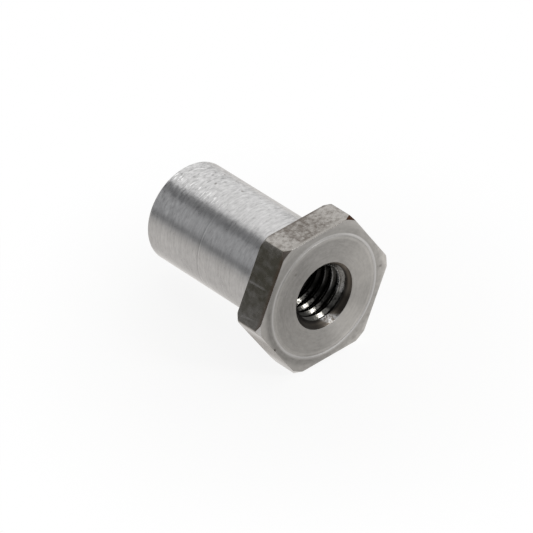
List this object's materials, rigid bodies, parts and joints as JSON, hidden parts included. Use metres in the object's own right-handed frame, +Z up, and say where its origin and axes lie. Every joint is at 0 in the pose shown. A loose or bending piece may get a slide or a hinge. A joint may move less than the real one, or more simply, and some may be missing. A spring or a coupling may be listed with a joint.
{
  "type": "barrel nut",
  "caption": "Steel barrel nut: a thin hexagon head in one piece with a smooth round barrel, threaded right through.",
  "frame": {"origin": "centre of the seat under the head, on the bore's axis", "axes": "+X along the bore, out of the head's outer face; +Z up, square to the head's top flat; one flat faces down (-Z)"},
  "size_m": [0.024, 0.0196, 0.017],
  "materials": {
    "turned_steel": "turned, with fine tool marks, greyer and mottled on the head's flats"
  },
  "bodies": {
    "root": {"barrel_nut": "turned_steel"}
  },
  "joints": []
}
